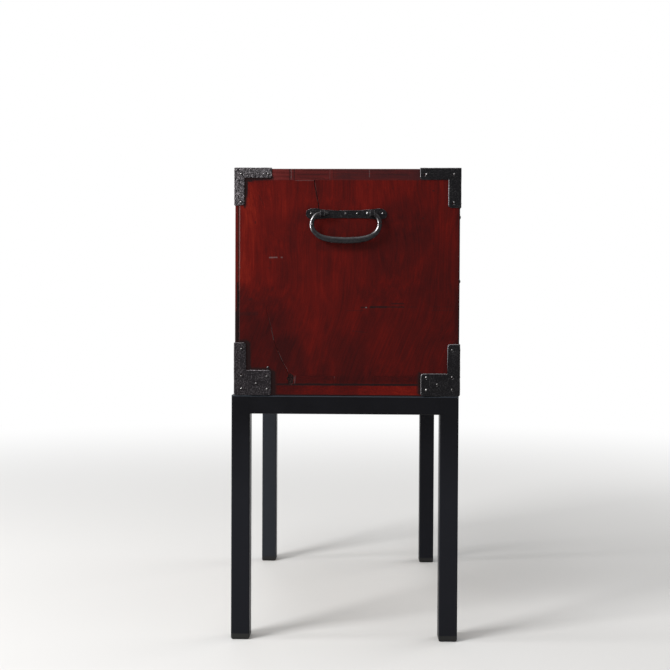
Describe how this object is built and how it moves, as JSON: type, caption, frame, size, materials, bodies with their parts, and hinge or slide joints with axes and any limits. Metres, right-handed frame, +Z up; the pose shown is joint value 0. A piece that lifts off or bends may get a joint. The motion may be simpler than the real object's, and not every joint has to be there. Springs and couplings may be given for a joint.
{
  "type": "small drawer chest on a stand",
  "caption": "Small lacquered chest with stacked drawers, iron corner fittings and swinging handles, standing on a square-tube steel frame with four legs.",
  "frame": {"origin": "on the floor, under the middle of the whole object", "axes": "+X to the right along the chest, +Y to its back, +Z up; the drawers open towards -Y"},
  "size_m": [0.4796, 0.314, 0.6356],
  "materials": {
    "red_lacquer": "worn red urushi lacquer over softwood, satin, with darker grain and scratches",
    "bare_wood": "unfinished pale softwood",
    "black_iron": "hammered iron plate, blackened",
    "forged_iron": "forged iron, blackened and worn bright on its edges",
    "black_steel": "satin black paint on welded steel tube",
    "black_plastic": "black moulded plastic",
    "plain_steel": "zinc plated screws"
  },
  "bodies": {
    "case": {"top_board": "red_lacquer", "bottom_board": "red_lacquer", "left_side_board": "red_lacquer", "right_side_board": "red_lacquer", "lower_divider": "red_lacquer", "upper_divider": "red_lacquer", "back_board_lower": "red_lacquer", "back_board_upper": "red_lacquer", "plinth_left": "red_lacquer", "plinth_right": "red_lacquer", "plinth_front": "red_lacquer", "plinth_back": "red_lacquer", "top_fitting_left_front": "black_iron", "top_fitting_left_back": "black_iron", "top_fitting_right_front": "black_iron", "top_fitting_right_back": "black_iron", "bottom_fitting_left_front": "black_iron", "bottom_fitting_left_back": "black_iron", "bottom_fitting_right_front": "black_iron", "bottom_fitting_right_back": "black_iron", "iron_nails": "black_iron", "left_handle_plate": "black_iron", "right_handle_plate": "black_iron", "left_handle_posts": "black_iron", "right_handle_posts": "black_iron", "stand_legs": "black_steel", "stand_end_rails": "black_steel", "stand_long_rails": "black_steel", "stand_glides": "black_plastic", "stand_screws": "plain_steel"},
    "left_handle": {"left_handle_bail": "forged_iron"},
    "right_handle": {"right_handle_bail": "forged_iron"},
    "bottom_drawer": {"bottom_drawer_front": "red_lacquer", "bottom_drawer_left_side": "bare_wood", "bottom_drawer_right_side": "bare_wood", "bottom_drawer_back": "bare_wood", "bottom_drawer_bottom": "bare_wood", "bottom_lock_plate": "black_iron", "bottom_pull_mounts": "black_iron"},
    "bottom_drawer_left_pull": {"bottom_left_bail": "forged_iron"},
    "bottom_drawer_right_pull": {"bottom_right_bail": "forged_iron"},
    "middle_drawer": {"middle_drawer_front": "red_lacquer", "middle_drawer_left_side": "bare_wood", "middle_drawer_right_side": "bare_wood", "middle_drawer_back": "bare_wood", "middle_drawer_bottom": "bare_wood", "middle_lock_plate": "black_iron", "middle_pull_mounts": "black_iron"},
    "middle_drawer_left_pull": {"middle_left_bail": "forged_iron"},
    "middle_drawer_right_pull": {"middle_right_bail": "forged_iron"},
    "top_drawer": {"top_drawer_front": "red_lacquer", "top_drawer_left_side": "bare_wood", "top_drawer_right_side": "bare_wood", "top_drawer_back": "bare_wood", "top_drawer_bottom": "bare_wood", "top_lock_plate": "black_iron", "top_pull_mounts": "black_iron"},
    "top_drawer_left_pull": {"top_left_bail": "forged_iron"},
    "top_drawer_right_pull": {"top_right_bail": "forged_iron"}
  },
  "joints": [
    {"name": "left_handle_swing", "type": "hinge", "parent": "case", "child": "left_handle", "pos_m": [-0.2352, 0.00255, 0.573], "axis": [0, 1, 0], "range_deg": [0, 175]},
    {"name": "right_handle_swing", "type": "hinge", "parent": "case", "child": "right_handle", "pos_m": [0.2352, 0.00255, 0.573], "axis": [0, -1, 0], "range_deg": [0, 175]},
    {"name": "bottom_drawer_slide", "type": "slide", "parent": "case", "child": "bottom_drawer", "axis": [0, -1, 0], "range_m": [0, 0.2]},
    {"name": "bottom_drawer_left_pull_swing", "type": "hinge", "parent": "bottom_drawer", "child": "bottom_drawer_left_pull", "pos_m": [-0.114, -0.15305, 0.39573], "axis": [-1, 0, 0], "range_deg": [0, 175]},
    {"name": "bottom_drawer_right_pull_swing", "type": "hinge", "parent": "bottom_drawer", "child": "bottom_drawer_right_pull", "pos_m": [0.114, -0.15305, 0.39573], "axis": [-1, 0, 0], "range_deg": [0, 175]},
    {"name": "middle_drawer_slide", "type": "slide", "parent": "case", "child": "middle_drawer", "axis": [0, -1, 0], "range_m": [0, 0.2]},
    {"name": "middle_drawer_left_pull_swing", "type": "hinge", "parent": "middle_drawer", "child": "middle_drawer_left_pull", "pos_m": [-0.114, -0.15305, 0.4864], "axis": [-1, 0, 0], "range_deg": [0, 175]},
    {"name": "middle_drawer_right_pull_swing", "type": "hinge", "parent": "middle_drawer", "child": "middle_drawer_right_pull", "pos_m": [0.114, -0.15305, 0.4864], "axis": [-1, 0, 0], "range_deg": [0, 175]},
    {"name": "top_drawer_slide", "type": "slide", "parent": "case", "child": "top_drawer", "axis": [0, -1, 0], "range_m": [0, 0.2]},
    {"name": "top_drawer_left_pull_swing", "type": "hinge", "parent": "top_drawer", "child": "top_drawer_left_pull", "pos_m": [-0.114, -0.15305, 0.57707], "axis": [-1, 0, 0], "range_deg": [0, 175]},
    {"name": "top_drawer_right_pull_swing", "type": "hinge", "parent": "top_drawer", "child": "top_drawer_right_pull", "pos_m": [0.114, -0.15305, 0.57707], "axis": [-1, 0, 0], "range_deg": [0, 175]}
  ]
}
